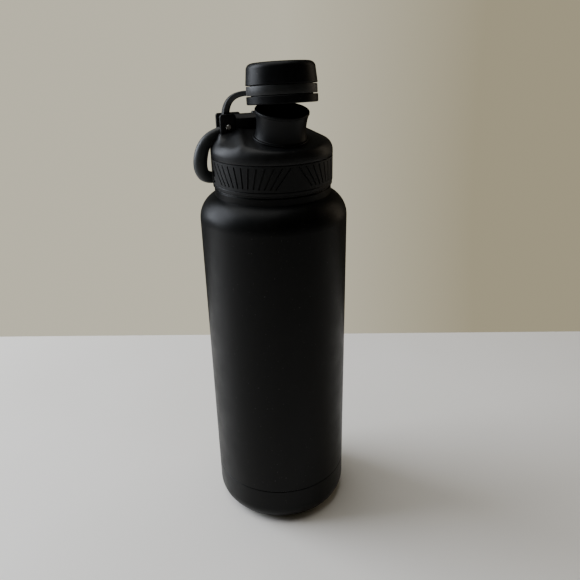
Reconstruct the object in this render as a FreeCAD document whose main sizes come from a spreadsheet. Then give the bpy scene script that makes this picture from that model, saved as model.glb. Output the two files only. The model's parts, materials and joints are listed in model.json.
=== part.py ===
import FreeCAD, Part
import math
import os
import re
import Sketcher

# A double-wall steel bottle with a screw lid, a leaning spout, a cap on a strap and a loop handle.
# Millimetres. The origin is the middle of the base, +Z up. The spout leans towards -Y, the handle
# is at -X, and the bar that carries the strap's bracket is behind the spout.

os.makedirs("parts", exist_ok=True)
doc = FreeCAD.newDocument("Growler")
V = FreeCAD.Vector

SIZES = {
    # shared
    "soft_edge": 0.3,
    "lip_edge": 0.5,
    "cut_reach": 60.0,
    # bottle
    "body_radius": 46.5,
    "wall": 0.8,
    "base_edge": 13.0,
    "base_recess": 1.5,
    "seam_height": 28.9,
    "seam_chamfer": 0.35,
    "rim_edge": 0.4,
    "shoulder_height": 216.0,
    "shoulder_radius": 16.0,
    "neck_radius": 36.3,
    "rim_height": 235.0,
    "liner_wall": 0.6,
    "liner_radius": 43.2,
    "liner_floor": 7.5,
    "liner_edge": 9.0,
    "liner_shoulder": 214.0,
    "mouth_radius": 31.5,
    "getter_radius": 5.0,
    "getter_thickness": 2.0,
    "bead_radius": 3.0,
    "bead_thickness": 0.9,
    # lid thread
    "thread_pitch": 4.0,
    "thread_height": 4.0,
    "thread_start": 227.6,
    "thread_width": 1.3,
    "thread_depth": 1.0,
    "plug_radius": 30.0,
    "plug_wall": 2.0,
    "plug_foot": 220.0,
    "plug_edge": 0.6,
    # lid
    "gasket_thickness": 1.1,
    "gasket_gap": 0.05,
    "gasket_inset": 1.2,
    "lid_lip_radius": 37.0,
    "lid_foot": 236.2,
    "lip_thickness": 1.6,
    "lip_height": 2.4,
    "band_foot": 239.0,
    "band_top": 254.0,
    "band_radius": 37.3,
    "band_depth": 2.0,
    "band_line": 0.35,
    "lid_wall_top": 257.0,
    "dome_edge_radius": 33.0,
    "dome_edge_height": 263.0,
    "dome_round": 7.4,
    "top_radius": 19.5,
    "top_height": 270.0,
    "lid_cavity_radius": 33.4,
    "lid_ceiling": 259.5,
    "ceiling_round": 6.0,
    "ceiling_run": 4.0,
    "ceiling_rise": 5.0,
    "front_slope": 12.0,
    "front_start": 3.0,
    "fan_slots": 12,
    "fan_low_pitch": 5.0,
    "fan_high_pitch": 7.5,
    "slot_width": 0.9,
    "slot_depth": 1.0,
    "slot_foot": 240.6,
    "slot_top": 252.6,
    # saddle under the bracket
    "saddle_left": 34.0,
    "saddle_right": 12.0,
    "saddle_front": 7.0,
    "saddle_back": 21.0,
    "saddle_margin": 1.2,
    # spout, in its own frame: base on the slanted front
    "spout_forward": 15.9,
    "spout_height": 16.5,
    "spout_foot_radius": 15.3,
    "spout_lip_radius": 15.7,
    "spout_bore_radius": 13.2,
    "spout_waist_curve": 29.0,
    "spout_pitch": 3.0,
    "spout_lip": 1.4,
    "spout_thread_drop": 6.6,
    "spout_thread_depth": 0.9,
    "spout_thread_width": 1.1,
    "passage_drop": 15.0,
    "collar_radius": 16.3,
    "collar_height": 1.1,
    "collar_round": 0.4,
    # bar and bracket
    "bar_half": 20.8,
    "bar_depth": 20.5,
    "bar_seat": 263.5,
    "bar_top": 276.4,
    "bar_edge": 0.8,
    "ridge_height": 1.1,
    "ridge_depth": 3.5,
    "notch_inner": 4.5,
    "notch_outer": 13.0,
    "bracket_width": 9.6,
    "bracket_depth": 11.0,
    "bracket_seat": 267.6,
    "bracket_top": 278.6,
    "bracket_floor": 268.4,
    "bracket_round": 1.5,
    "ear_thickness": 2.2,
    "pin_height": 271.3,
    "pin_radius": 1.0,
    "pin_head_radius": 1.5,
    "pin_head": 0.5,
    # strap and cap
    "eye_radius": 2.6,
    "eye_width": 6.3,
    "strap_width": 5.7,
    "strap_root": 3.9,
    "strap_tip": 2.9,
    "strap_level": 6.6,
    "strap_taper": 0.1,
    "strap_rise": 13.0,
    "strap_lean": 0.9,
    "strap_reach": 11.0,
    "strap_lift": 0.6,
    "running_gap": 0.06,
    "cap_x": 1.8,
    "cap_y": -15.5,
    "cap_foot": 285.0,
    "cap_tilt": 5.6,
    "cap_height": 22.0,
    "flange_radius": 20.5,
    "flange_height": 4.5,
    "ring_foot": 4.9,
    "ring_top": 9.9,
    "ring_radius": 20.3,
    "spigot_radius": 17.8,
    "ring_gap": 0.25,
    "knob_foot": 10.3,
    "knob_foot_radius": 20.5,
    "knob_top_radius": 19.7,
    "knob_round": 3.5,
    "knob_roof": 2.2,
    "skirt_bore": 16.8,
    "cap_ceiling": 13.5,
    "cap_plug_radius": 11.8,
    "cap_plug_bore": 9.8,
    "cap_plug_foot": 6.5,
    "cap_thread_depth": 0.7,
    "cap_thread_width": 1.0,
    "cap_thread_pitch": 2.8,
    "cap_thread_height": 2.4,
    "cap_gasket_thickness": 1.2,
    "cap_gasket_inner": 12.9,
    "cap_gasket_gap": 0.2,
    # handle
    "handle_y": 8.6,
    "handle_wide": 3.4,
    "handle_thick": 4.0,
    "handle_top": 268.6,
    "handle_bend_x": 37.2,
    "handle_bend_height": 265.4,
    "handle_side_x": 43.1,
    "handle_side_height": 253.4,
    "handle_low_x": 43.0,
    "handle_low_height": 242.2,
    "handle_end_x": 32.5,
    "handle_end_height": 241.6,
    "handle_top_curve": 9.0,
    "handle_side_curve": 14.0,
    "handle_low_curve": 5.6,
    "handle_plug_radius": 1.2,
    "handle_plug_gap": 0.4,
    "handle_plug_lift": 2.4,
    "lock_width": 3.4,
    "lock_height": 7.2,
    "lock_depth": 1.3,
    "lock_foot": 240.2,
}

sheet = doc.addObject("Spreadsheet::Sheet", "Sizes")
for row, (alias, value) in enumerate(SIZES.items(), start=1):
    sheet.set(f"A{row}", alias.replace("_", " "))
    sheet.set(f"B{row}", str(value))
    sheet.setAlias(f"B{row}", alias)
doc.recompute()
ALIAS = re.compile(r"\b(" + "|".join(sorted(SIZES, key=len, reverse=True)) + r")\b")


def bound(text):
    """The expression with each size's name pointed at its cell."""
    return ALIAS.sub(r"Sizes.\1", text)


def size(text):
    """The number that an expression gives now."""
    return float(sheet.evalExpression(bound(text)))


# ---- helpers for bodies and sketches ----
parts = {}


def new_body(name):
    body = doc.addObject("PartDesign::Body", name)
    body.Label = name
    parts[name] = body
    return body


def plane_of(body, role):
    return next(item for item in body.Origin.OriginFeatures if item.Role == role)


def arc_between(start, end, radius, turn):
    """The minor arc from start to end; turn 1 is anticlockwise, -1 clockwise."""
    chord = end - start
    middle = start + chord * 0.5
    side = V(-chord.y, chord.x, 0).normalize() * turn
    centre = middle + side * math.sqrt(radius ** 2 - (chord.Length / 2) ** 2)
    first, last = (start, end) if turn > 0 else (end, start)
    angles = [math.atan2(p.y - centre.y, p.x - centre.x) for p in (first, last)]
    if angles[1] < angles[0]:
        angles[1] += 2 * math.pi
    return Part.ArcOfCircle(Part.Circle(centre, V(0, 0, 1), radius), angles[0], angles[1])


def profile(body, name, outline, role="XZ_Plane", lift=None):
    """A closed sketch through (across, up) or (across, up, radius, turn) corners, each bound."""
    sketch = body.newObject("Sketcher::SketchObject", name)
    sketch.AttachmentSupport = (plane_of(body, role), [""])
    sketch.MapMode = "FlatFace"
    if lift is not None:
        sketch.setExpression("AttachmentOffset.Base.z", bound(lift))
    places = [V(size(corner[0]), size(corner[1]), 0) for corner in outline]
    starts, ends = [], []
    for index, corner in enumerate(outline):
        here, there = places[index], places[(index + 1) % len(outline)]
        if len(corner) == 4:
            sketch.addGeometry(arc_between(here, there, size(corner[2]), corner[3]), False)
            radius = sketch.addConstraint(Sketcher.Constraint("Radius", index, size(corner[2])))
            sketch.setExpression(f"Constraints[{radius}]", bound(corner[2]))
            starts.append(1 if corner[3] > 0 else 2)
        else:
            sketch.addGeometry(Part.LineSegment(here, there), False)
            starts.append(1)
        ends.append(3 - starts[-1])
    for index, corner in enumerate(outline):
        before = index - 1 if index else len(outline) - 1
        sketch.addConstraint(Sketcher.Constraint("Coincident", before, ends[before], index, starts[index]))
        for kind, axis, text in (("DistanceX", -2, corner[0]), ("DistanceY", -1, corner[1])):
            if text == "0":
                sketch.addConstraint(Sketcher.Constraint("PointOnObject", index, starts[index], axis))
                continue
            rule = sketch.addConstraint(
                Sketcher.Constraint(kind, -1, 1, index, starts[index], size(text)))
            sketch.setExpression(f"Constraints[{rule}]", bound(text))
    return sketch


def turned(name, outline):
    """A body turned about its own Z from a half section."""
    body = new_body(name)
    spin = body.newObject("PartDesign::Revolution", name + "_turn")
    spin.Profile = profile(body, name + "_section", outline)
    spin.ReferenceAxis = (spin.Profile[0], ["V_Axis"])
    spin.Angle = 360
    doc.recompute()
    return body


def padded_block(body, name, outline, role, length, lift=None, midplane=False, reverse=False):
    pad = body.newObject("PartDesign::Pad", name)
    pad.Profile = profile(body, name + "_outline", outline, role, lift)
    pad.setExpression("Length", bound(length))
    pad.Midplane = midplane
    pad.Reversed = reverse
    doc.recompute()
    return pad


def pocket(body, name, outline, role, length, lift=None, midplane=False, reverse=False):
    """A pocket that has to take something away."""
    before = body.Shape.Volume
    cut = body.newObject("PartDesign::Pocket", name)
    cut.Profile = profile(body, name + "_outline", outline, role, lift)
    cut.setExpression("Length", bound(length))
    cut.Midplane = midplane
    cut.Reversed = reverse
    doc.recompute()
    if body.Shape.Volume > before - 1:
        raise RuntimeError(f"{name} cuts nothing")
    return cut


def thread(body, name, root, crest, start, pitch, height, width):
    """A trapezoid ridge wound once about the body's Z."""
    outline = [(root, start), (root, f"{start} + {width}"),
               (crest, f"{start} + {width} * 0.7"), (crest, f"{start} + {width} * 0.3")]
    ridge = body.newObject("PartDesign::AdditiveHelix", name)
    ridge.Profile = profile(body, name + "_section", outline)
    ridge.ReferenceAxis = (ridge.Profile[0], ["V_Axis"])
    ridge.Mode = 0
    ridge.setExpression("Pitch", bound(pitch))
    ridge.setExpression("Height", bound(height))
    doc.recompute()
    return ridge


def rectangle(left, low, right, high):
    return [(left, low), (right, low), (right, high), (left, high)]


# ---- bottle ----
def make_bottle():
    shell_inner = "(body_radius - wall)"
    shoulder_centre = "(body_radius - shoulder_radius)"
    rise = "sqrt(shoulder_radius ^ 2 - (neck_radius - body_radius + shoulder_radius) ^ 2)"
    inner_rise = ("sqrt((shoulder_radius - wall) ^ 2"
                  " - (neck_radius - wall - body_radius + shoulder_radius) ^ 2)")
    turned("outer_shell", [
        (shell_inner, "seam_height"),
        ("body_radius - seam_chamfer", "seam_height"),
        ("body_radius", "seam_height + seam_chamfer"),
        ("body_radius", "shoulder_height", "shoulder_radius", 1),
        ("neck_radius", f"shoulder_height + {rise}"),
        ("neck_radius", "rim_height - rim_edge"),
        ("neck_radius - rim_edge", "rim_height"),
        ("neck_radius - wall", "rim_height"),
        ("neck_radius - wall", f"shoulder_height + {inner_rise}", "shoulder_radius - wall", -1),
        (shell_inner, "shoulder_height"),
    ])
    turned("base_cup", [
        ("0", "base_recess"),
        ("body_radius - base_edge - 2 * base_recess", "base_recess"),
        ("body_radius - base_edge - base_recess", "0"),
        ("body_radius - base_edge", "0", "base_edge", 1),
        ("body_radius", "base_edge"),
        ("body_radius", "seam_height - seam_chamfer"),
        ("body_radius - seam_chamfer", "seam_height"),
        (shell_inner, "seam_height"),
        (shell_inner, "base_edge", "base_edge - wall", -1),
        ("body_radius - base_edge", "wall"),
        ("body_radius - base_edge - base_recess + soft_edge", "wall"),
        ("body_radius - base_edge - 2 * base_recess + soft_edge", "base_recess + wall"),
        ("0", "base_recess + wall"),
    ])
    liner_inner = "(liner_radius - liner_wall)"
    bend = "(liner_radius - body_radius + shoulder_radius)"
    mouth_rise = f"sqrt({bend} ^ 2 - (mouth_radius + liner_wall - body_radius + shoulder_radius) ^ 2)"
    mouth_inner = (f"sqrt(({bend} - liner_wall) ^ 2"
                   " - (mouth_radius - body_radius + shoulder_radius) ^ 2)")
    liner = turned("inner_liner", [
        ("0", "liner_floor"),
        ("liner_radius - liner_edge", "liner_floor", "liner_edge", 1),
        ("liner_radius", "liner_floor + liner_edge"),
        ("liner_radius", "liner_shoulder", bend, 1),
        ("mouth_radius + liner_wall", f"liner_shoulder + {mouth_rise}"),
        ("mouth_radius + liner_wall", "rim_height - wall"),
        ("neck_radius - wall", "rim_height - wall"),
        ("neck_radius - wall", "rim_height"),
        ("mouth_radius", "rim_height"),
        ("mouth_radius", f"liner_shoulder + {mouth_inner}", f"{bend} - liner_wall", -1),
        (liner_inner, "liner_shoulder"),
        (liner_inner, "liner_floor + liner_edge", "liner_edge - liner_wall", -1),
        ("liner_radius - liner_edge", "liner_floor + liner_wall"),
        ("0", "liner_floor + liner_wall"),
    ])
    thread(liner, "neck_thread", "mouth_radius + soft_edge", "mouth_radius - thread_depth",
           "thread_start + thread_pitch / 2", "thread_pitch", "thread_height", "thread_width")
    turned("getter", rectangle("0", "liner_floor - getter_thickness", "getter_radius", "liner_floor"))
    turned("vacuum_seal_bead", rectangle(
        "0", "base_recess - bead_thickness", "bead_radius", "base_recess"))


# ---- lid ----
def make_lid():
    turned("lid_gasket", rectangle(
        "mouth_radius + soft_edge", "rim_height + gasket_gap",
        "neck_radius - gasket_inset", "rim_height + gasket_gap + gasket_thickness"))
    plug = turned("lid_plug", [
        ("plug_radius - plug_wall", "plug_foot"),
        ("plug_radius - plug_edge", "plug_foot"),
        ("plug_radius", "plug_foot + plug_edge"),
        ("plug_radius", "lid_foot"),
        ("lid_lip_radius - lip_thickness", "lid_foot"),
        ("lid_lip_radius - lip_thickness", "lid_foot + lip_height"),
        ("plug_radius - plug_wall", "lid_foot + lip_height"),
    ])
    thread(plug, "plug_thread", "plug_radius - soft_edge", "plug_radius + thread_depth",
           "thread_start", "thread_pitch", "thread_height", "thread_width")
    shell = turned("lid_shell", [
        ("lid_lip_radius - lip_thickness", "lid_foot"),
        ("lid_lip_radius - lip_edge", "lid_foot"),
        ("lid_lip_radius", "lid_foot + lip_edge"),
        ("lid_lip_radius", "band_foot - soft_edge - lip_edge"),
        ("lid_lip_radius - soft_edge", "band_foot - soft_edge"),
        ("lid_lip_radius - soft_edge", "band_foot"),
        ("band_radius - band_depth", "band_foot"),
        ("band_radius - band_depth", "band_top"),
        ("band_radius - lip_edge", "band_top"),
        ("band_radius", "band_top + lip_edge"),
        ("band_radius", "lid_wall_top", "dome_round", 1),
        ("dome_edge_radius", "dome_edge_height"),
        ("top_radius", "top_height"),
        ("0", "top_height"),
        ("0", "lid_ceiling"),
        ("lid_cavity_radius - ceiling_run", "lid_ceiling", "ceiling_round", -1),
        ("lid_cavity_radius", "lid_ceiling - ceiling_rise"),
        ("lid_cavity_radius", "lid_foot + lip_height"),
        ("lid_lip_radius - lip_thickness", "lid_foot + lip_height"),
    ])
    saddle = shell.newObject("PartDesign::AdditiveLoft", "saddle")
    saddle.Profile = profile(shell, "saddle_foot", rectangle(
        "-saddle_left", "-saddle_front", "-saddle_right", "saddle_back"),
        "XY_Plane", "lid_ceiling + lip_edge")
    saddle.Sections = [profile(shell, "saddle_top", rectangle(
        "-bar_half - bracket_width - saddle_margin", "front_start - saddle_margin",
        "-bar_half + saddle_margin", "front_start + bracket_depth + saddle_margin"),
        "XY_Plane", "bracket_seat")]
    doc.recompute()
    slope = "tan(front_slope)"
    pocket(shell, "slanted_front", [
        ("front_start", "top_height"),
        ("front_start", "top_height + cut_reach"),
        ("-cut_reach", "top_height + cut_reach"),
        ("-cut_reach", f"top_height - (cut_reach + front_start) * {slope}"),
    ], "YZ_Plane", "2 * cut_reach", midplane=True)
    pocket(shell, "bar_seat_cut", rectangle(
        "-bar_half", "front_start", "bar_half", "front_start + bar_depth"),
        "XY_Plane", "cut_reach", "bar_seat", reverse=True)
    pocket(shell, "bracket_seat_cut", rectangle(
        "-bar_half - bracket_width", "front_start", "-bar_half", "front_start + bracket_depth"),
        "XY_Plane", "cut_reach", "bracket_seat", reverse=True)
    bore = shell.newObject("PartDesign::SubtractiveCylinder", "spout_passage")
    bore.setExpression("Radius", bound("spout_bore_radius"))
    bore.setExpression("Height", bound("spout_height + passage_drop"))
    bore.Placement = spout_place().multiply(FreeCAD.Placement(
        V(0, 0, -size("passage_drop")), FreeCAD.Rotation()))
    doc.recompute()
    return shell


def spout_place():
    """The spout's frame: on the slanted front, Z along the spout."""
    forward = size("spout_forward")
    drop = (forward + size("front_start")) * math.tan(math.radians(size("front_slope")))
    return FreeCAD.Placement(V(0, -forward, size("top_height") - drop),
                             FreeCAD.Rotation(V(1, 0, 0), size("front_slope")))


def make_band():
    ring = turned("band_blank", rectangle(
        "band_radius - band_depth", "band_foot", "band_radius", "band_top - band_line"))
    del parts["band_blank"]
    cutters = []
    foot, top, radius = size("slot_foot"), size("slot_top"), size("band_radius")
    per_fan = round(size("fan_slots"))
    low_pitch, high_pitch = size("fan_low_pitch"), size("fan_high_pitch")
    for fan in (45, 135, 225, 315):
        for index in range(per_fan):
            place = index - (per_fan - 1) / 2
            low, high = math.radians(fan + low_pitch * place), math.radians(fan + high_pitch * place)
            middle = (low + high) / 2
            outward = V(math.cos(middle), math.sin(middle), 0)
            start = V(radius * math.cos(low), radius * math.sin(low), foot)
            end = V(radius * math.cos(high), radius * math.sin(high), top)
            along = (end - start).normalize()
            across = along.cross(outward).normalize()
            box = doc.addObject("Part::Box", "slot_cutter")
            box.setExpression("Length", bound("slot_depth + 1"))
            box.setExpression("Width", bound("slot_width"))
            box.Height = (end - start).Length
            turn = FreeCAD.Rotation(outward, across, along, "ZXY")
            inset = outward * size("slot_depth")
            box.Placement = FreeCAD.Placement(
                start - inset - across * (size("slot_width") / 2), turn)
            cutters.append(box)
    lock = doc.addObject("Part::Box", "lock_cutter")
    lock.setExpression("Length", bound("2 * band_depth"))
    lock.setExpression("Width", bound("lock_width"))
    lock.setExpression("Height", bound("lock_height"))
    lock.setExpression("Placement.Base.x", bound("-band_radius + lock_depth - 2 * band_depth"))
    lock.setExpression("Placement.Base.y", bound("-lock_width / 2"))
    lock.setExpression("Placement.Base.z", bound("lock_foot"))
    cutters.append(lock)
    slots = doc.addObject("Part::Compound", "band_slots")
    slots.Links = cutters
    band = doc.addObject("Part::Cut", "grip_band")
    band.Base, band.Tool = ring, slots
    band.Label = "grip_band"
    parts["grip_band"] = band
    plug = turned("handle_plug", rectangle(
        "0", "0", "handle_plug_radius", "lock_depth - handle_plug_gap"))
    plug.Placement = FreeCAD.Placement(
        V(size("-band_radius + lock_depth"), 0, size("lock_foot + handle_plug_lift")),
        FreeCAD.Rotation(V(0, 1, 0), -90))
    doc.recompute()


def make_spout():
    spout = turned("spout", [
        ("spout_bore_radius", "0"),
        ("spout_foot_radius", "0"),
        ("spout_foot_radius", "collar_height + soft_edge"),
        ("spout_foot_radius - soft_edge", "collar_height + 2 * soft_edge", "spout_waist_curve", -1),
        ("spout_lip_radius - soft_edge", "spout_height - spout_lip - soft_edge"),
        ("spout_lip_radius", "spout_height - spout_lip"),
        ("spout_lip_radius", "spout_height - lip_edge", "lip_edge", 1),
        ("spout_lip_radius - lip_edge", "spout_height"),
        ("spout_bore_radius + lip_edge", "spout_height"),
        ("spout_bore_radius", "spout_height - lip_edge"),
    ])
    thread(spout, "spout_thread", "spout_bore_radius + soft_edge",
           "spout_bore_radius - spout_thread_depth", "spout_height - spout_thread_drop",
           "spout_pitch", "spout_pitch", "spout_thread_width")
    collar = turned("spout_collar", [
        ("spout_foot_radius", "0"),
        ("collar_radius", "0"),
        ("collar_radius", "collar_height - collar_round", "collar_round", 1),
        ("collar_radius - collar_round", "collar_height"),
        ("spout_foot_radius", "collar_height"),
    ])
    for body in (spout, collar):
        body.Placement = spout_place()


def make_bar_and_bracket():
    bar = new_body("rear_bar")
    padded_block(bar, "bar_block", [
        ("front_start", "bar_seat"),
        ("front_start + bar_depth", "bar_seat"),
        ("front_start + bar_depth", "bar_top + ridge_height"),
        ("front_start + bar_depth - ridge_depth", "bar_top + ridge_height"),
        ("front_start + bar_depth - ridge_depth", "bar_top"),
        ("front_start + bar_edge", "bar_top"),
        ("front_start", "bar_top - bar_edge"),
    ], "YZ_Plane", "2 * bar_half", midplane=True)
    for sign in ("-", ""):
        low, high = ("notch_outer", "notch_inner") if sign else ("notch_inner", "notch_outer")
        pocket(bar, "notch_" + ("left" if sign else "right"), rectangle(
            sign + low, "bar_top", sign + high, "bar_top + cut_reach"),
            "XZ_Plane", "2 * cut_reach", midplane=True)
    bracket = new_body("tether_bracket")
    padded_block(bracket, "bracket_block", [
        ("-bar_half - bracket_width", "bracket_seat"),
        ("-bar_half", "bracket_seat"),
        ("-bar_half", "bracket_top - bracket_round", "bracket_round", 1),
        ("-bar_half - bracket_round", "bracket_top"),
        ("-bar_half - bracket_width + bracket_round", "bracket_top", "bracket_round", 1),
        ("-bar_half - bracket_width", "bracket_top - bracket_round"),
    ], "XZ_Plane", "bracket_depth", "-front_start", reverse=True)
    pocket(bracket, "strap_slot", rectangle(
        "front_start + ear_thickness", "bracket_floor",
        "front_start + bracket_depth - ear_thickness", "bracket_top + cut_reach"),
        "YZ_Plane", "2 * cut_reach", midplane=True)
    hole = bracket.newObject("PartDesign::SubtractiveCylinder", "pin_hole")
    hole.setExpression("Radius", bound("pin_radius"))
    hole.setExpression("Height", bound("bracket_depth"))
    hole.Placement = pin_place()
    pin = turned("tether_pin", [
        ("0", "0"),
        ("pin_head_radius - soft_edge", "0"),
        ("pin_head_radius", "soft_edge"),
        ("pin_head_radius", "pin_head"),
        ("pin_radius", "pin_head"),
        ("pin_radius", "pin_head + bracket_depth"),
        ("0", "pin_head + bracket_depth"),
    ])
    pin.Placement = pin_place().multiply(
        FreeCAD.Placement(V(0, 0, -size("pin_head")), FreeCAD.Rotation()))
    doc.recompute()


def pin_place():
    """The pin's frame: Z runs back through both ears from the bracket's front face."""
    return FreeCAD.Placement(
        V(size("-bar_half - bracket_width / 2"), size("front_start"), size("pin_height")),
        FreeCAD.Rotation(V(1, 0, 0), -90))


def cap_place():
    """The cap's frame: its foot's middle, tilted back."""
    return FreeCAD.Placement(V(size("cap_x"), size("cap_y"), size("cap_foot")),
                             FreeCAD.Rotation(V(1, 0, 0), -size("cap_tilt")))


def make_tether():
    """The ring round the cap, the eye on the pin and the curved strap between them."""
    frame = cap_place()
    eye_middle = pin_place().multVec(V(0, 0, size("bracket_depth") / 2))
    centre = frame.multVec(V(0, 0, size("strap_level")))
    heading = V(eye_middle.x - centre.x, eye_middle.y - centre.y, 0).normalize()
    towards = frame.Rotation.multVec(heading)
    ring_tangent = frame.Rotation.multVec(V(heading.y, -heading.x, 0))
    attach = centre + towards * size("ring_radius - 1")
    start = eye_middle + V(0, 0, size("eye_radius - 1"))
    controls = [start, start + V(-size("strap_lean"), 0, size("strap_rise")),
                attach + towards * size("strap_reach") + V(0, 0, size("strap_lift")), attach]
    width = size("strap_width") / 2
    steps = 14
    sections = []
    for step in range(steps + 1):
        t = step / steps
        u = 1 - t
        place = (controls[0] * u ** 3 + controls[1] * (3 * u * u * t)
                 + controls[2] * (3 * u * t * t) + controls[3] * t ** 3)
        along = ((controls[1] - controls[0]) * (u * u) + (controls[2] - controls[1]) * (2 * u * t)
                 + (controls[3] - controls[2]) * (t * t)).normalize()
        side = V(0, 1, 0) * (1 - t * t) + ring_tangent * (t * t)
        side = (side - along * side.dot(along)).normalize()
        out = along.cross(side).normalize()
        half = width * (1 - size("strap_taper") * t)
        thickness = size("strap_root") / 2 * u + size("strap_tip") / 2 * t
        corners = [place + side * (half * i) + out * (thickness * k)
                   for i, k in ((-1, -1), (1, -1), (1, 1), (-1, 1))]
        sections.append(Part.makePolygon(corners + [corners[0]]))
    strap = Part.makeLoft(sections, True, True)
    ring_height = size("ring_top - ring_foot")
    ring = Part.makeCylinder(size("ring_radius"), ring_height, V(0, 0, size("ring_foot")))
    bore = Part.makeCylinder(size("spigot_radius + ring_gap"), ring_height + 2,
                             V(0, 0, size("ring_foot") - 1))
    ring.Placement = frame.multiply(ring.Placement)
    bore.Placement = frame.multiply(bore.Placement)
    half_eye = V(0, size("eye_width") / 2, 0)
    eye = Part.makeCylinder(size("eye_radius"), size("eye_width"), eye_middle - half_eye, V(0, 1, 0))
    hole = Part.makeCylinder(size("pin_radius + running_gap"), size("eye_width") + 2,
                             eye_middle - half_eye - V(0, 1, 0), V(0, 1, 0))
    tether = doc.addObject("Part::Feature", "tether")
    tether.Shape = eye.fuse([strap, ring]).cut([hole, bore]).removeSplitter()
    tether.Label = "tether"
    parts["tether"] = tether


def make_cap():
    core = turned("cap_core", [
        ("skirt_bore", "0"),
        ("flange_radius - lip_edge", "0"),
        ("flange_radius", "lip_edge"),
        ("flange_radius", "flange_height - soft_edge"),
        ("flange_radius - soft_edge", "flange_height"),
        ("spigot_radius", "flange_height"),
        ("spigot_radius", "cap_ceiling + 2"),
        ("0", "cap_ceiling + 2"),
        ("0", "cap_ceiling"),
        ("cap_plug_bore", "cap_ceiling"),
        ("cap_plug_bore", "cap_plug_foot"),
        ("cap_plug_radius - soft_edge", "cap_plug_foot"),
        ("cap_plug_radius", "cap_plug_foot + soft_edge"),
        ("cap_plug_radius", "cap_ceiling"),
        ("skirt_bore", "cap_ceiling"),
    ])
    thread(core, "cap_thread", "cap_plug_radius - soft_edge", "cap_plug_radius + cap_thread_depth",
           "cap_plug_foot + soft_edge", "cap_thread_pitch", "cap_thread_height", "cap_thread_width")
    knob = turned("cap_knob", [
        ("spigot_radius", "knob_foot"),
        ("knob_foot_radius - soft_edge", "knob_foot"),
        ("knob_foot_radius", "knob_foot + soft_edge"),
        ("knob_top_radius", "cap_height - knob_round", "knob_round", 1),
        ("knob_top_radius - knob_round", "cap_height"),
        ("0", "cap_height"),
        ("0", "cap_height - knob_roof"),
        ("spigot_radius", "cap_height - knob_roof"),
    ])
    washer = turned("cap_gasket", rectangle(
        "cap_gasket_inner", "cap_ceiling - cap_gasket_thickness",
        "skirt_bore - cap_gasket_gap", "cap_ceiling"))
    for body in (core, knob, washer):
        body.Placement = cap_place()


def rounded_route(corners, radii):
    """Straight runs joined by tangent arcs, as one wire."""
    edges, here = [], corners[0]
    for index, radius in enumerate(radii, start=1):
        corner = corners[index]
        back = (corners[index - 1] - corner).normalize()
        on = (corners[index + 1] - corner).normalize()
        half = back.getAngle(on) / 2
        reach = radius / math.tan(half)
        bisector = (back + on).normalize()
        middle = corner + bisector * (radius / math.sin(half) - radius)
        first, last = corner + back * reach, corner + on * reach
        edges += [Part.LineSegment(here, first).toShape(), Part.Arc(first, middle, last).toShape()]
        here = last
    edges.append(Part.LineSegment(here, corners[-1]).toShape())
    return Part.Wire(edges)


def make_handle():
    """A loop from the bracket's left side down to the grip band."""
    left, level = size("-bar_half - bracket_width"), size("handle_y")
    corners = [V(left, level, size("handle_top"))]
    corners += [V(-size(f"handle_{bend}_x"), level, size(f"handle_{bend}_height"))
                for bend in ("bend", "side", "low", "end")]
    route = doc.addObject("Part::Feature", "handle_route")
    route.Shape = rounded_route(
        corners, [size(f"handle_{bend}_curve") for bend in ("top", "side", "low")])
    loop = doc.addObject("Part::Ellipse", "handle_section")
    loop.setExpression("MajorRadius", bound("handle_thick"))
    loop.setExpression("MinorRadius", bound("handle_wide"))
    along = (corners[1] - corners[0]).normalize()
    loop.Placement = FreeCAD.Placement(
        corners[0], FreeCAD.Rotation(along.cross(V(0, 1, 0)), V(0, 1, 0), along, "ZYX"))
    sweep = doc.addObject("Part::Sweep", "handle_sweep")
    sweep.Sections = [loop]
    sweep.Spine = (route, [f"Edge{n + 1}" for n in range(len(route.Shape.Edges))])
    sweep.Solid = True
    sweep.Frenet = False
    seat = doc.addObject("Part::Cylinder", "handle_seat")
    seat.setExpression("Radius", bound("band_radius"))
    seat.setExpression("Height", bound("band_top"))
    wall = doc.addObject("Part::Box", "bracket_side")
    wall.Length = wall.Width = wall.Height = size("cut_reach")
    wall.Placement.Base = V(left, level - size("cut_reach / 2"), size("lid_ceiling"))
    tools = doc.addObject("Part::MultiFuse", "handle_ends")
    tools.Shapes = [seat, wall, parts["lid_shell"]]
    handle = doc.addObject("Part::Cut", "handle")
    handle.Base, handle.Tool = sweep, tools
    handle.Label = "handle"
    parts["handle"] = handle


make_bottle()
make_lid()
make_band()
make_spout()
make_bar_and_bracket()
make_tether()
make_cap()
make_handle()
doc.recompute()

for item in doc.Objects:
    if "Invalid" in item.State or "Error" in item.State:
        raise RuntimeError(f"{item.Name} did not recompute: {item.State}")
for name, body in parts.items():
    shape = body.Shape
    if shape.isNull() or not shape.isValid() or len(shape.Solids) != 1:
        raise RuntimeError(f"{name} is not one sound solid: {len(shape.Solids)}")
for name, body in parts.items():
    body.Shape.exportStep(f"parts/{name}.step")
print(f"{len(parts)} parts written")
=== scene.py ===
import json
import math

import bpy
from mathutils import Matrix, Vector


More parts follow.
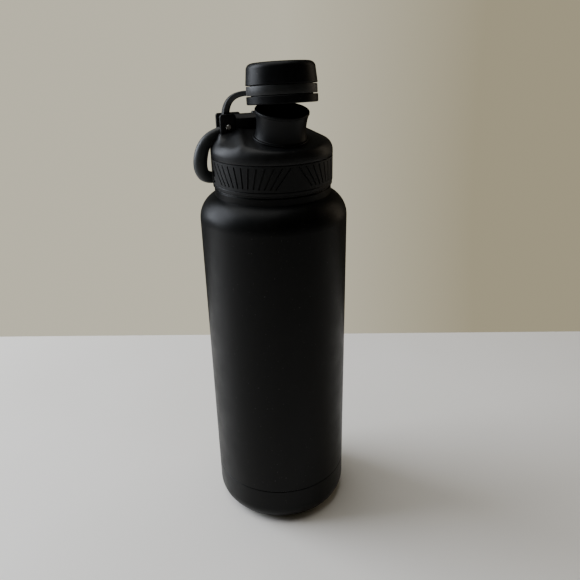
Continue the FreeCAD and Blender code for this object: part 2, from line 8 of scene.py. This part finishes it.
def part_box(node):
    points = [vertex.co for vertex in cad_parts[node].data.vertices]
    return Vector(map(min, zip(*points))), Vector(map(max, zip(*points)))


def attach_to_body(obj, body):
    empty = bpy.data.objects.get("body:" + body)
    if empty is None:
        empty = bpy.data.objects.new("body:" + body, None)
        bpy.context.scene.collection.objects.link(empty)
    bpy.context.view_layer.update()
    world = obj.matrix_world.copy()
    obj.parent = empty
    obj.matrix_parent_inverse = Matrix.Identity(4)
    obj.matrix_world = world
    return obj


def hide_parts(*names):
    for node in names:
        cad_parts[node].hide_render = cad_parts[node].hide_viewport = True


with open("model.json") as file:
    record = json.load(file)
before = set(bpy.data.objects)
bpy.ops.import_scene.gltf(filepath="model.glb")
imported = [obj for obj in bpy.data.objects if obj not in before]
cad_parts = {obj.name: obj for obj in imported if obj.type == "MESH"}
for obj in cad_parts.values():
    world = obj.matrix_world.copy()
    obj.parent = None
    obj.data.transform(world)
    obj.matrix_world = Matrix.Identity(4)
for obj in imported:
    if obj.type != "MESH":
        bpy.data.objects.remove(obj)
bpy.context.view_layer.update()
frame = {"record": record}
MM = 0.001
MERGE = 0.002 * MM


# ---------------------------------------------------------------- materials
PLASTIC_IOR = 1.49
DUST_COLOUR, DUST_AMOUNT, DUST_SPACING = "#8d8a84", 0.22, 0.9


def colour(code):
    """An sRGB hex value as the linear colour that a socket takes."""
    parts = [int(code[i:i + 2], 16) / 255 for i in (1, 3, 5)]
    return tuple(p / 12.92 if p <= 0.04045 else ((p + 0.055) / 1.055) ** 2.4 for p in parts) + (1,)


def add(tree, kind, settings=None, **inputs):
    """Add a node, set its properties, then set or link its inputs."""
    node = tree.nodes.new("ShaderNode" + kind)
    for name, value in (settings or {}).items():
        setattr(node, name, value)
    for name, value in inputs.items():
        key = int(name[1:]) if name[0] == "_" else name.replace("_", " ")
        if isinstance(value, bpy.types.NodeSocket):
            tree.links.new(value, node.inputs[key])
        else:
            node.inputs[key].default_value = value
    return node


def ramp(tree, factor, low, high, first, last):
    """Colours from first to last as factor goes from low to high."""
    node = add(tree, "ValToRGB", Fac=factor)
    ends = node.color_ramp.elements
    ends[0].position, ends[0].color = low, first
    ends[1].position, ends[1].color = high, last
    return node.outputs["Color"]


def grey(value):
    return (value, value, value, 1)


def start(name):
    """A new material: its tree, its shader and the object's coordinates."""
    material = bpy.data.materials.new(name)
    material.use_nodes = True
    tree = material.node_tree
    place = add(tree, "TexCoord").outputs["Object"]
    return material, tree, tree.nodes["Principled BSDF"], place


def noise(tree, place, millimetres, detail=2.0, rough=0.5):
    """Noise whose blobs are about this wide."""
    return add(tree, "TexNoise", Vector=place, Scale=1 / (millimetres * MM),
               Detail=detail, Roughness=rough).outputs["Fac"]


def parting_line(tree, place, half_width=0.3, height=4.0):
    """A ridge along the front and back of a mould, as a share of the grain's height."""
    across = add(tree, "SeparateXYZ", Vector=place).outputs["X"]
    beside = add(tree, "Math", {"operation": "ABSOLUTE"}, _0=across).outputs[0]
    return add(tree, "MapRange", Value=beside, From_Min=0.0, From_Max=half_width * MM,
               To_Min=height, To_Max=0.0).outputs["Result"]


def moulding(name, dark, light, rough, grain, relief, cloud=9.0, sheen=0.0, gleam=0.27,
             seam=False):
    """A dark surface with a fine grain, faint cloudiness, rubbed gloss and a little dust.

    The grain, its relief and the clouds are in millimetres.
    """
    material, tree, shader, place = start(name)
    clouds = noise(tree, place, cloud, 4.0, 0.6)
    fine = noise(tree, place, grain, 3.0, 0.55)
    tint = ramp(tree, clouds, 0.3, 0.72, colour(dark), colour(light))
    dust = noise(tree, place, DUST_SPACING, 1.0, 0.5)
    specks = ramp(tree, dust, 0.755, 0.8, grey(0), grey(DUST_AMOUNT))
    dusted = add(tree, "MixRGB", _0=specks, _1=tint, _2=colour(DUST_COLOUR))
    tree.links.new(dusted.outputs["Color"], shader.inputs["Base Color"])
    gloss = ramp(tree, clouds, 0.3, 0.7, grey(rough - 0.05), grey(rough + 0.06))
    tree.links.new(gloss, shader.inputs["Roughness"])
    if seam:
        flash = parting_line(tree, place)
        fine = add(tree, "Math", {"operation": "ADD"}, _0=fine, _1=flash).outputs[0]
    bump = add(tree, "Bump", Height=fine, Strength=0.6, Distance=relief * MM)
    tree.links.new(bump.outputs["Normal"], shader.inputs["Normal"])
    shader.inputs["IOR"].default_value = PLASTIC_IOR
    shader.inputs["Specular IOR Level"].default_value = gleam
    shader.inputs["Sheen Weight"].default_value = sheen
    shader.inputs["Sheen Roughness"].default_value = 0.5
    return material


def powder_coat():
    # Polyester powder coat baked on steel: a dead black with a soft orange-peel grain.
    # The real grain is 0.2 mm, and it is drawn at 0.7 mm so that it shows.
    return moulding("black_powder_coat", "#030404", "#060707", 0.4, 0.7, 0.05, cloud=14.0,
                    gleam=0.13)


def lid_polypropylene():
    # Injection-moulded polypropylene with a spark-eroded texture: dark, even and satin.
    return moulding("textured_polypropylene", "#0a0b0c", "#101112", 0.42, 0.6, 0.035, gleam=0.2,
                    seam=True)


def spout_polypropylene():
    # The same plastic from a smoother tool: shallower grain, and a little blacker.
    return moulding("satin_polypropylene", "#050607", "#0a0b0d", 0.4, 0.9, 0.02, gleam=0.13)


def bar_nylon():
    # Glass-filled nylon: the blackest of the plastics, dull, with a dry grain.
    return moulding("glass_filled_nylon", "#060607", "#0b0b0c", 0.5, 0.5, 0.03)


def band_elastomer():
    # Thermoplastic elastomer over the lid: dull, with a soft bloom at grazing angles.
    return moulding("thermoplastic_elastomer", "#090a0a", "#0f1011", 0.5, 0.5, 0.03, sheen=0.06,
                    gleam=0.17, seam=True)


def handle_elastomer():
    # Softer elastomer round the loop: greyer where it has been handled.
    return moulding("soft_touch_elastomer", "#1c1f20", "#262a2b", 0.44, 0.8, 0.03,
                    cloud=6.0, sheen=0.1)


def silicone_rubber():
    # Moulded silicone: slightly grey and matt, with a soft bloom.
    return moulding("black_silicone", "#101112", "#181a1b", 0.42, 0.6, 0.02, cloud=5.0, sheen=0.12)


def brushed_steel(name, tone, rough, stretch):
    """Steel with fine lines round or along it."""
    material, tree, shader, place = start(name)
    squeezed = add(tree, "Mapping", Vector=place, Scale=stretch).outputs["Vector"]
    lines = add(tree, "TexNoise", Vector=squeezed, Scale=2500.0, Detail=3.0).outputs["Fac"]
    tint = ramp(tree, lines, 0.3, 0.7, colour(tone), colour("#c9c8c4"))
    tree.links.new(tint, shader.inputs["Base Color"])
    gloss = ramp(tree, lines, 0.3, 0.7, grey(rough), grey(rough + 0.12))
    tree.links.new(gloss, shader.inputs["Roughness"])
    bump = add(tree, "Bump", Height=lines, Strength=0.4, Distance=0.01 * MM)
    tree.links.new(bump.outputs["Normal"], shader.inputs["Normal"])
    shader.inputs["Metallic"].default_value = 1.0
    return material


def liner_steel():
    # Electropolished 304 stainless steel, with drawing lines round the wall.
    return brushed_steel("electropolished_stainless", "#a8a7a3", 0.22, (0.06, 0.06, 1.0))


def pin_steel():
    # A turned stainless pin, darkened by handling.
    return brushed_steel("turned_stainless", "#6f6f70", 0.3, (1.0, 0.1, 1.0))


def getter_alloy():
    # Sintered zirconium alloy: a grey, grainy pellet.
    return brushed_steel("sintered_zirconium", "#4a4a4c", 0.6, (1.0, 1.0, 1.0))


def table_laminate():
    # White laminate: pale and smooth with a broad, weak sheen.
    material, tree, shader, place = start("white_laminate")
    clouds = noise(tree, place, 160.0, 2.0)
    tint = ramp(tree, clouds, 0.3, 0.7, colour("#f2eee6"), colour("#f6f2eb"))
    tree.links.new(tint, shader.inputs["Base Color"])
    shader.inputs["Roughness"].default_value = 0.42
    return material


COAT = powder_coat()
LID = lid_polypropylene()
SPOUT = spout_polypropylene()
BAR = bar_nylon()
BAND = band_elastomer()
HANDLE = handle_elastomer()
SILICONE = silicone_rubber()
LINER = liner_steel()
PIN = pin_steel()
GETTER = getter_alloy()

FINISHES = {
    "outer_shell": COAT, "base_cup": COAT, "inner_liner": LINER, "getter": GETTER,
    "vacuum_seal_bead": PIN, "lid_gasket": SILICONE, "lid_shell": LID, "lid_plug": LID,
    "grip_band": BAND, "spout": SPOUT, "spout_collar": SPOUT, "rear_bar": BAR,
    "tether_bracket": BAR, "tether_pin": PIN, "handle": HANDLE, "handle_plug": PIN,
    "tether": SILICONE, "cap_knob": SPOUT, "cap_core": SPOUT, "cap_gasket": SILICONE,
}


def finish_with(piece, material):
    piece.data.materials.clear()
    piece.data.materials.append(material)


for name, material in FINISHES.items():
    finish_with(bpy.data.objects[name], material)


# ---------------------------------------------------------------- modelling helpers
def deselect():
    bpy.ops.object.select_all(action="DESELECT")


def hold(piece):
    """Make one object the only one selected, and active."""
    deselect()
    piece.select_set(True)
    bpy.context.view_layer.objects.active = piece


def edit(piece, select="SELECT"):
    hold(piece)
    bpy.ops.object.mode_set(mode="EDIT")
    bpy.ops.mesh.select_all(action=select)


def leave():
    bpy.ops.object.mode_set(mode="OBJECT")


def modify(piece, kind, **settings):
    """Add a modifier and apply it."""
    hold(piece)
    modifier = piece.modifiers.new(kind.lower(), kind)
    for name, value in settings.items():
        setattr(modifier, name, value)
    bpy.ops.object.modifier_apply(modifier=modifier.name)


def smooth(piece, degrees=35):
    hold(piece)
    bpy.ops.object.shade_smooth_by_angle(angle=math.radians(degrees))


def stand_in(piece, node, body, material):
    """The piece is what shows in place of a CAD node."""
    finish_with(piece, material)
    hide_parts(node)
    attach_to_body(piece, body)


def drawn(name, outline, closed=False):
    """One vertex pulled out along (radius, height) points in millimetres."""
    deselect()
    bpy.ops.mesh.primitive_plane_add(size=MM)
    piece = bpy.context.object
    piece.name = name
    edit(piece)
    bpy.ops.mesh.merge(type="CENTER")
    here = Vector((0, 0, 0))
    for index, (radius, height) in enumerate(outline):
        step = Vector((radius, 0, height)) * MM - here
        if index == 0:
            bpy.ops.transform.translate(value=step)
        else:
            bpy.ops.mesh.extrude_vertices_move(TRANSFORM_OT_translate={"value": step})
        here += step
    leave()
    if closed:
        edit(piece, "DESELECT")
        leave()
        for index in (0, len(piece.data.vertices) - 1):
            piece.data.vertices[index].select = True
        bpy.ops.object.mode_set(mode="EDIT")
        bpy.ops.mesh.edge_face_add()
        leave()
    return piece


def spun(name, outline, steps=128, closed=False):
    """A drawn outline spun about Z, with its seam and poles merged."""
    piece = drawn(name, outline, closed)
    edit(piece)
    bpy.ops.mesh.spin(steps=steps, angle=2 * math.pi, center=(0, 0, 0), axis=(0, 0, 1))
    bpy.ops.mesh.select_all(action="SELECT")
    bpy.ops.mesh.remove_doubles(threshold=MERGE)
    bpy.ops.mesh.normals_make_consistent(inside=False)
    leave()
    return piece


def rounded_corner(centre, radius, first, last, count):
    """Points along an arc, given by its centre, radius and two angles in degrees."""
    turns = [math.radians(first + (last - first) * i / (count - 1)) for i in range(count)]
    return [(centre[0] + radius * math.cos(t), centre[1] + radius * math.sin(t)) for t in turns]


def run(start_point, end_point, count):
    """Evenly spaced points from just after one point to another."""
    return [tuple(a + (b - a) * i / count for a, b in zip(start_point, end_point))
            for i in range(1, count + 1)]


def soft_low(a, b, reach):
    """The lower of two heights, rounded where they meet."""
    near = max(reach - abs(a - b), 0) / reach
    return min(a, b) - near * near * reach / 4


def soft_high(a, b, reach):
    return -soft_low(-a, -b, reach)


def softened(node, body, material, width):
    """A copy of a CAD node with its edges rounded."""
    source = bpy.data.objects[node]
    piece = bpy.data.objects.new(node + "_moulding", source.data.copy())
    bpy.context.scene.collection.objects.link(piece)
    edit(piece)
    bpy.ops.mesh.remove_doubles(threshold=MERGE / 2)
    bpy.ops.mesh.dissolve_limited(angle_limit=math.radians(1.0))
    leave()
    modify(piece, "BEVEL", width=width * MM, segments=3, limit_method="ANGLE",
           angle_limit=math.radians(30))
    smooth(piece, 40)
    stand_in(piece, node, body, material)


# ---------------------------------------------------------------- lid cover
LID_LOW, LID_HIGH = (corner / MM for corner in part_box("lid_shell"))
BAND_LOW, BAND_HIGH = (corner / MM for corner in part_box("grip_band"))
BRACKET_LOW, BRACKET_HIGH = (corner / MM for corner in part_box("tether_bracket"))
BAR_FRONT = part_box("rear_bar")[0].y / MM
BAND_RADIUS = BAND_HIGH.x
BAND_SEAT = BAND_RADIUS - 2.0
BAND_TOP = BAND_LOW.z + 15.0
WALL_TOP = BAND_LOW.z + 18.0
LIP_RADIUS = BAND_RADIUS - 0.3
DOME_ROUND = 7.4
TOP_RADIUS = 19.5
COVER_WALL = 2.1
SPOUT_LEAN = math.radians(12)
SPOUT_FORWARD = 15.9
SPOUT_BORE = 13.2
# the ridge from the bracket's right corner to the shoulder: plan ends, height and spread
CREST_START = Vector((BRACKET_HIGH.x + 1.4, BRACKET_LOW.y))
CREST_END = Vector((-25.4, -21.0))
CREST_HEIGHT, CREST_SPREAD = 1.1, 2.8


def lid_outline():
    """Half of the lid's outer side, from the lip up and over the dome."""
    foot, top = LID_LOW.z, LID_HIGH.z
    lower = [(LIP_RADIUS - 1.4, foot), (LIP_RADIUS - 0.5, foot), (LIP_RADIUS, foot + 0.5),
             (LIP_RADIUS, BAND_LOW.z - 0.7), (LIP_RADIUS - 0.3, BAND_LOW.z - 0.3),
             (LIP_RADIUS - 0.3, BAND_LOW.z), (BAND_SEAT, BAND_LOW.z), (BAND_SEAT, BAND_TOP),
             (BAND_RADIUS - 0.6, BAND_TOP), (BAND_RADIUS - 0.15, BAND_TOP + 0.2),
             (BAND_RADIUS, BAND_TOP + 0.6), (BAND_RADIUS, BAND_TOP + 1.8)]
    shoulder = rounded_corner((BAND_RADIUS - DOME_ROUND, WALL_TOP - 0.4), DOME_ROUND, 0, 63, 16)
    crown = run(shoulder[-1], (TOP_RADIUS, top), 20) + run((TOP_RADIUS, top), (0.0, top), 22)
    return lower + shoulder + crown


def saddle_height(place):
    """A pad under the bracket that falls away at its own slope on each side."""
    left = max(BRACKET_LOW.x - 0.8 - place.x, 0) * 1.75
    right = max(place.x - BRACKET_HIGH.x + 1.5, 0)
    ahead = max(BRACKET_LOW.y - 0.6 - place.y, 0) * 0.8
    behind = max(place.y - BRACKET_HIGH.y - 0.6, 0) * 1.1
    return BRACKET_LOW.z + 0.25 - math.hypot(left + right, ahead + behind)


def crest_height(place):
    """A low ridge along the line from CREST_START to CREST_END."""
    crest = CREST_END - CREST_START
    reach = min(max((place.xy - CREST_START).dot(crest) / crest.length_squared, 0), 1)
    aside = (place.xy - CREST_START - crest * reach).length
    return CREST_HEIGHT * math.exp(-(aside / CREST_SPREAD) ** 2)


def shape_lid(place):
    """The height of the cover over a point: dome, slanted front and saddle, run together."""
    front = LID_HIGH.z + math.tan(SPOUT_LEAN) * min(place.y - BAR_FRONT, 0)
    height = soft_low(place.z, front, 1.6)
    return soft_high(height, saddle_height(place), 3.2) + crest_height(place)


def make_lid_cover():
    cover = spun("lid_cover", lid_outline(), steps=192)
    for vertex in cover.data.vertices:
        place = vertex.co / MM
        if place.z > WALL_TOP:
            vertex.co.z = shape_lid(place) * MM
    modify(cover, "SOLIDIFY", thickness=COVER_WALL * MM, offset=-1)
    deselect()
    drop = math.tan(SPOUT_LEAN) * (SPOUT_FORWARD + BAR_FRONT)
    bpy.ops.mesh.primitive_cylinder_add(
        vertices=96, radius=SPOUT_BORE * MM, depth=40 * MM,
        location=Vector((0, -SPOUT_FORWARD, LID_HIGH.z - drop)) * MM,
        rotation=(SPOUT_LEAN, 0, 0))
    cutter = bpy.context.object
    modify(cover, "BOOLEAN", operation="DIFFERENCE", solver="EXACT", object=cutter)
    bpy.data.objects.remove(cutter)
    smooth(cover, 32)
    stand_in(cover, "lid_shell", "lid", LID)


# ---------------------------------------------------------------- handle
def make_handle():
    """A round loop, fat in the middle, pulled in at both ends."""
    low, high = (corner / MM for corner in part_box("handle"))
    level = (low.y + high.y) / 2
    side, foot = BRACKET_LOW.x, low.z
    # across, height and radius, from the bracket down to the band
    stations = [
        (side + 1.2, 268.4, 2.9), (side - 4.0, 267.0, 3.0), (side - 8.4, 263.3, 3.6),
        (side - 11.6, 257.2, 4.2), (side - 12.9, 250.2, 4.3), (side - 12.3, 244.9, 4.1),
        (side - 9.6, foot + 4.0, 3.8), (side - 4.6, foot + 3.6, 3.4),
    ]
    deselect()
    bpy.ops.curve.primitive_nurbs_path_add()
    loop = bpy.context.object
    loop.name = "handle_loop"
    curve = loop.data
    curve.splines.clear()
    spline = curve.splines.new("NURBS")
    spline.points.add(len(stations) - 1)
    for point, (across, height, radius) in zip(spline.points, stations):
        point.co = (across * MM, level * MM, height * MM, 1)
        point.radius = radius
    spline.order_u = 4
    spline.use_endpoint_u = True
    spline.resolution_u = 14
    curve.dimensions = "3D"
    curve.bevel_depth = MM
    curve.bevel_resolution = 10
    curve.use_fill_caps = True
    hold(loop)
    bpy.ops.object.convert(target="MESH")
    loop = bpy.context.object
    edit(loop)
    bpy.ops.mesh.remove_doubles(threshold=MERGE)
    bpy.ops.mesh.normals_make_consistent(inside=False)
    leave()
    smooth(loop, 50)
    stand_in(loop, "handle", "lid", HANDLE)


# ---------------------------------------------------------------- strap
RING_RADIUS, RING_BORE, RING_FOOT, RING_TOP, RING_EDGE = 20.3, 18.05, 4.9, 9.9, 0.35
EYE_RADIUS, EYE_BORE, EYE_HALF, EYE_EDGE = 2.6, 1.06, 3.15, 0.3
STRAP_LEVEL, STRAP_HALF, STRAP_TAPER = 6.6, 2.85, 0.1
STRAP_ROOT, STRAP_TIP, STRAP_EDGE = 3.9, 2.9, 0.55
STRAP_STEPS, STRAP_COLUMNS = 48, 8


def joint(name):
    return next(j for j in frame["record"]["behaviour"]["joints"] if j["name"] == name)


def cap_frame():
    """The cap's own frame: its foot's middle, with Z up its tilted axis."""
    cap = joint("cap_turn")
    turn = Vector((0, 0, 1)).rotation_difference(Vector(cap["axis"]))
    return Matrix.Translation(cap["pos_m"]) @ turn.to_matrix().to_4x4()


def make_ring(matrix):
    """The ring that sits in the cap's groove."""
    low, high, edge = RING_FOOT, RING_TOP, RING_EDGE
    shy = edge * 0.3
    ring = spun("cap_ring", [
        (RING_BORE, low), (RING_RADIUS - edge, low), (RING_RADIUS - shy, low + shy),
        (RING_RADIUS, low + edge), (RING_RADIUS, high - edge), (RING_RADIUS - shy, high - shy),
        (RING_RADIUS - edge, high), (RING_BORE, high)], steps=144, closed=True)
    ring.data.transform(matrix)
    return ring


def make_eye(middle):
    """The eye that turns on the bracket's pin."""
    eye = spun("strap_eye", [
        (EYE_BORE, -EYE_HALF), (EYE_RADIUS - EYE_EDGE, -EYE_HALF),
        (EYE_RADIUS, EYE_EDGE - EYE_HALF), (EYE_RADIUS, EYE_HALF - EYE_EDGE),
        (EYE_RADIUS - EYE_EDGE, EYE_HALF), (EYE_BORE, EYE_HALF)], steps=48, closed=True)
    lying = Matrix.Rotation(math.radians(-90), 4, "X")
    eye.data.transform(Matrix.Translation(middle * MM) @ lying)
    return eye


def make_strap(matrix, eye_middle):
    """The strap itself, curved up from the eye and over to the ring, and twisted on the way."""
    middle = matrix @ Vector((0, 0, STRAP_LEVEL * MM)) / MM
    heading = Vector((eye_middle.x - middle.x, eye_middle.y - middle.y, 0)).normalized()
    turn = matrix.to_3x3()
    towards = turn @ heading
    tangent = turn @ Vector((heading.y, -heading.x, 0))
    attach = middle + towards * (RING_RADIUS - 1)
    root = eye_middle + Vector((0, 0, 1.6))
    bend = [root, root + Vector((-0.9, 0, 13)),
            attach + towards * 11 + Vector((0, 0, 0.6)), attach]
    deselect()
    bpy.ops.mesh.primitive_grid_add(
        x_subdivisions=STRAP_STEPS, y_subdivisions=STRAP_COLUMNS, size=2)
    strap = bpy.context.object
    strap.name = "strap"
    for vertex in strap.data.vertices:
        t = (vertex.co.x + 1) / 2
        u = 1 - t
        place = (bend[0] * u ** 3 + bend[1] * (3 * u * u * t)
                 + bend[2] * (3 * u * t * t) + bend[3] * t ** 3)
        along = ((bend[1] - bend[0]) * (u * u) + (bend[2] - bend[1]) * (2 * u * t)
                 + (bend[3] - bend[2]) * (t * t)).normalized()
        side = Vector((0, 1, 0)) * (1 - t * t) + tangent * (t * t)
        side = (side - along * side.dot(along)).normalized()
        half_width = STRAP_HALF * (1 - STRAP_TAPER * t)
        vertex.co = (place + side * (vertex.co.y * half_width)) * MM
    tapered = strap.vertex_groups.new(name="thickness")
    for vertex in strap.data.vertices:
        share = (vertex.index % (STRAP_STEPS + 1)) / STRAP_STEPS
        tapered.add([vertex.index], 1 - share * (1 - STRAP_TIP / STRAP_ROOT), "REPLACE")
    modify(strap, "SOLIDIFY", thickness=STRAP_ROOT * MM, offset=0, vertex_group="thickness")
    modify(strap, "BEVEL", width=STRAP_EDGE * MM, segments=3, limit_method="ANGLE",
           angle_limit=math.radians(40))
    edit(strap)
    bpy.ops.mesh.normals_make_consistent(inside=False)
    leave()
    return strap


def make_tether():
    """The ring, the strap and the eye, joined as one moulding."""
    matrix = cap_frame()
    ring = make_ring(matrix)
    eye_middle = Vector(joint("strap_swing")["pos_m"]) / MM
    strap = make_strap(matrix, eye_middle)
    eye = make_eye(eye_middle)
    deselect()
    for piece in (ring, strap, eye):
        piece.select_set(True)
    bpy.context.view_layer.objects.active = ring
    bpy.ops.object.join()
    ring.name = "cap_strap"
    smooth(ring, 35)
    stand_in(ring, "tether", "strap", SILICONE)


make_lid_cover()
make_handle()
make_tether()
softened("rear_bar", "lid", BAR, 0.5)
softened("tether_bracket", "lid", BAR, 0.4)


# ---------------------------------------------------------------- stage
# the table's turn, its width and depth, and the middle of its rear edge, in metres
TABLE_TURN, TABLE_WIDTH, TABLE_DEPTH = math.radians(-22.9), 4.4, 2.6
TABLE_REAR = Vector((0.097, 0.22, 0.0))
LIGHT_TARGET = (0.0, 0.0, 0.16)
WALL_ACROSS = (0.93, -0.367, 0.0)
CAMERA_PLACE = Vector((-122.96, -337.82, 321.2)) * MM
CAMERA_AZIMUTH, CAMERA_ELEVATION = math.radians(-21.5), math.radians(23.83)
CAMERA_ROLL = math.radians(-1.18)


def aim(thing, place, target, roll=0.0):
    """Put a camera or a light at place, looking at target, and roll it."""
    back = (Vector(place) - Vector(target)).normalized()
    turn = back.to_track_quat("Z", "Y").to_matrix().to_4x4()
    thing.matrix_world = Matrix.Translation(place) @ turn @ Matrix.Rotation(roll, 4, "Z")


def softbox(name, place, width, height, power, tint):
    """A rectangle of light, aimed at the bottle."""
    light = bpy.data.lights.new(name, "AREA")
    light.shape = "RECTANGLE"
    light.size, light.size_y = width, height
    light.energy = power
    light.color = colour(tint)[:3]
    lamp = bpy.data.objects.new(name, light)
    bpy.context.scene.collection.objects.link(lamp)
    aim(lamp, place, LIGHT_TARGET)


def make_table():
    """A table whose rear edge stands where the wall begins."""
    forward = Vector((math.sin(TABLE_TURN), -math.cos(TABLE_TURN), 0))
    bpy.ops.mesh.primitive_plane_add(
        size=1, location=TABLE_REAR + forward * (TABLE_DEPTH / 2), rotation=(0, 0, TABLE_TURN))
    floor = bpy.context.object
    floor.name = "table"
    floor.scale = (TABLE_WIDTH, TABLE_DEPTH, 1)
    hold(floor)
    bpy.ops.object.transform_apply()
    finish_with(floor, table_laminate())


def make_lights():
    """A window behind on the left, a pale ceiling and a faint bounce from the right."""
    softbox("window", (-0.95, 0.62, 0.72), 0.9, 1.0, 25, "#eef4ff")
    softbox("sky", (-0.3, 0.3, 1.9), 1.6, 1.6, 20, "#f6f6f4")
    softbox("right_wall", (1.1, 0.15, 0.45), 0.5, 0.9, 1.2, "#ffedd2")


def make_room():
    """A pale background with painted light: brighter at the left, where the window lights the
    wall, and painted shade to the right; and a much dimmer fill.
    """
    world = bpy.data.worlds.new("room")
    world.use_nodes = True
    tree = world.node_tree
    seen = add(tree, "LightPath").outputs["Is Camera Ray"]
    strength = add(tree, "MapRange", Value=seen, To_Min=0.1, To_Max=1.0).outputs["Result"]
    background = tree.nodes["Background"]
    heading = add(tree, "TexCoord").outputs["Generated"]
    across = add(tree, "VectorMath", {"operation": "DOT_PRODUCT"}, _0=heading, _1=WALL_ACROSS)
    # painted light: the wall is lit at the left by the window and painted darker and warmer
    # towards the right
    painted_wall_light = ramp(tree, across.outputs["Value"], 0.0, 0.3, colour("#d3cdb7"), colour("#a79e83"))
    tree.links.new(painted_wall_light, background.inputs["Color"])
    tree.links.new(strength, background.inputs["Strength"])
    bpy.context.scene.world = world


def make_camera():
    """A phone held a third of a metre away, a little above the cap and left of the spout."""
    level = math.cos(CAMERA_ELEVATION)
    look = Vector((-math.sin(CAMERA_AZIMUTH) * level, math.cos(CAMERA_AZIMUTH) * level,
                   -math.sin(CAMERA_ELEVATION)))
    data = bpy.data.cameras.new("camera")
    data.sensor_width = 36.0
    data.lens = 36.0
    camera = bpy.data.objects.new("camera", data)
    bpy.context.scene.collection.objects.link(camera)
    aim(camera, CAMERA_PLACE, CAMERA_PLACE + look, CAMERA_ROLL)
    bpy.context.scene.camera = camera


make_table()
make_lights()
make_room()
make_camera()
